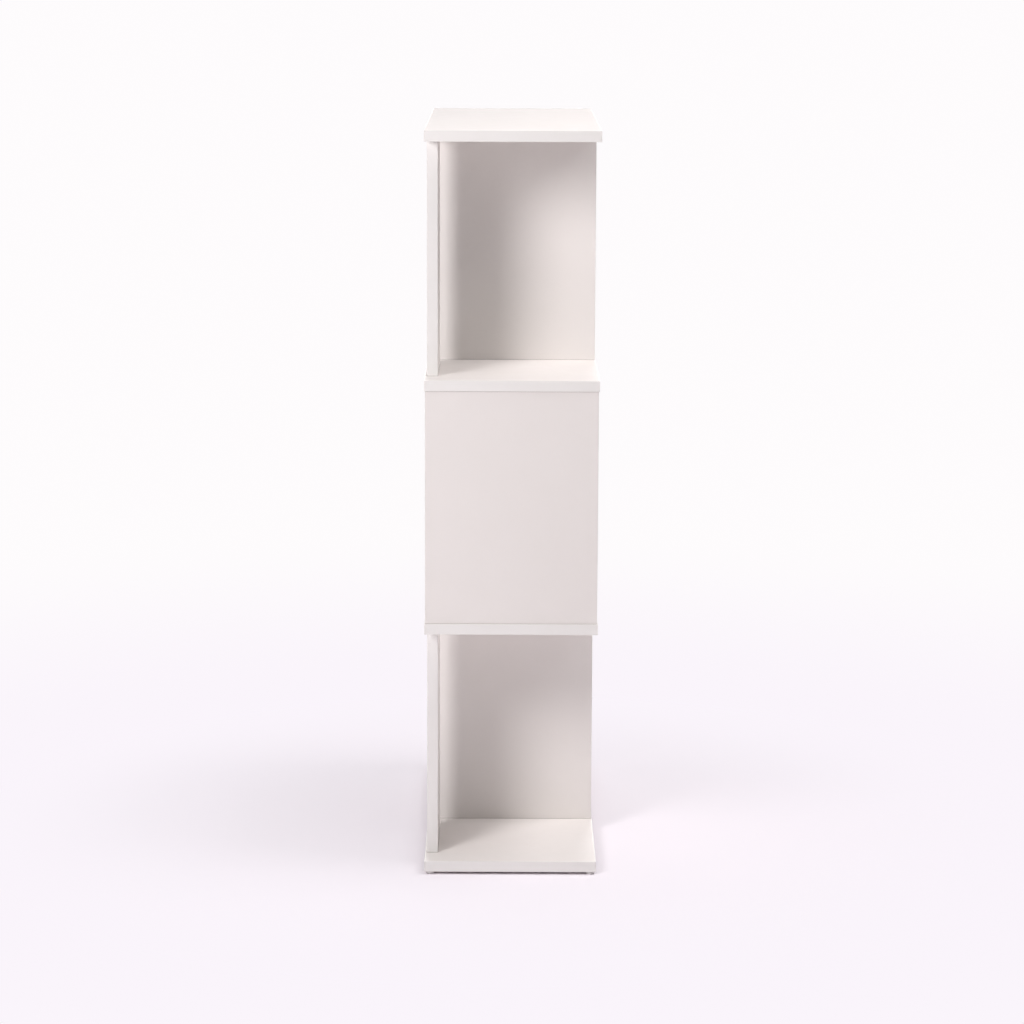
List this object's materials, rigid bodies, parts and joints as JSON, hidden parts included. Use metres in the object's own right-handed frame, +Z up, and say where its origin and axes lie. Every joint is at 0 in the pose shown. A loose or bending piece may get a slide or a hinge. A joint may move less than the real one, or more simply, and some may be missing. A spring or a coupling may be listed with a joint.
{
  "type": "zigzag bookshelf",
  "caption": "Free-standing zigzag bookshelf: white boards stacked on end panels, dividers and narrow rear plates, with tiers open at alternating ends, joined by dowels and cam fixings.",
  "frame": {"origin": "on the floor, under the middle of the base board", "axes": "+X along the boards to the closed end of the top tier, +Y to the rear, where the narrow plates stand, +Z up"},
  "size_m": [0.6, 0.24, 1.036],
  "materials": {
    "white_board": "satin white melamine on chipboard",
    "edge_band": "satin white edge banding",
    "dowel_wood": "plain fluted beech",
    "bolt_steel": "zinc-plated steel",
    "cam_zinc": "die-cast zinc",
    "glide_plastic": "moulded light grey plastic"
  },
  "bodies": {
    "root": {"base_board": "white_board", "lower_shelf": "white_board", "upper_shelf": "white_board", "top_board": "white_board", "bottom_tier_end_panel": "white_board", "bottom_tier_divider": "white_board", "bottom_tier_rear_plate": "white_board", "middle_tier_end_panel": "white_board", "middle_tier_divider": "white_board", "middle_tier_rear_plate": "white_board", "top_tier_end_panel": "white_board", "top_tier_divider": "white_board", "top_tier_rear_plate": "white_board", "base_board_edge_bands": "edge_band", "lower_shelf_edge_bands": "edge_band", "upper_shelf_edge_bands": "edge_band", "top_board_edge_bands": "edge_band", "bottom_tier_end_panel_edge_bands": "edge_band", "bottom_tier_divider_edge_bands": "edge_band", "bottom_tier_rear_plate_edge_bands": "edge_band", "middle_tier_end_panel_edge_bands": "edge_band", "middle_tier_divider_edge_bands": "edge_band", "middle_tier_rear_plate_edge_bands": "edge_band", "top_tier_end_panel_edge_bands": "edge_band", "top_tier_divider_edge_bands": "edge_band", "top_tier_rear_plate_edge_bands": "edge_band", "bottom_tier_dowels": "dowel_wood", "middle_tier_dowels": "dowel_wood", "top_tier_dowels": "dowel_wood", "bottom_tier_cam_bolts": "bolt_steel", "middle_tier_cam_bolts": "bolt_steel", "top_tier_cam_bolts": "bolt_steel", "bottom_tier_cams": "cam_zinc", "middle_tier_cams": "cam_zinc", "top_tier_cams": "cam_zinc", "front_left_glide": "glide_plastic", "front_right_glide": "glide_plastic", "rear_left_glide": "glide_plastic", "rear_right_glide": "glide_plastic"}
  },
  "joints": []
}
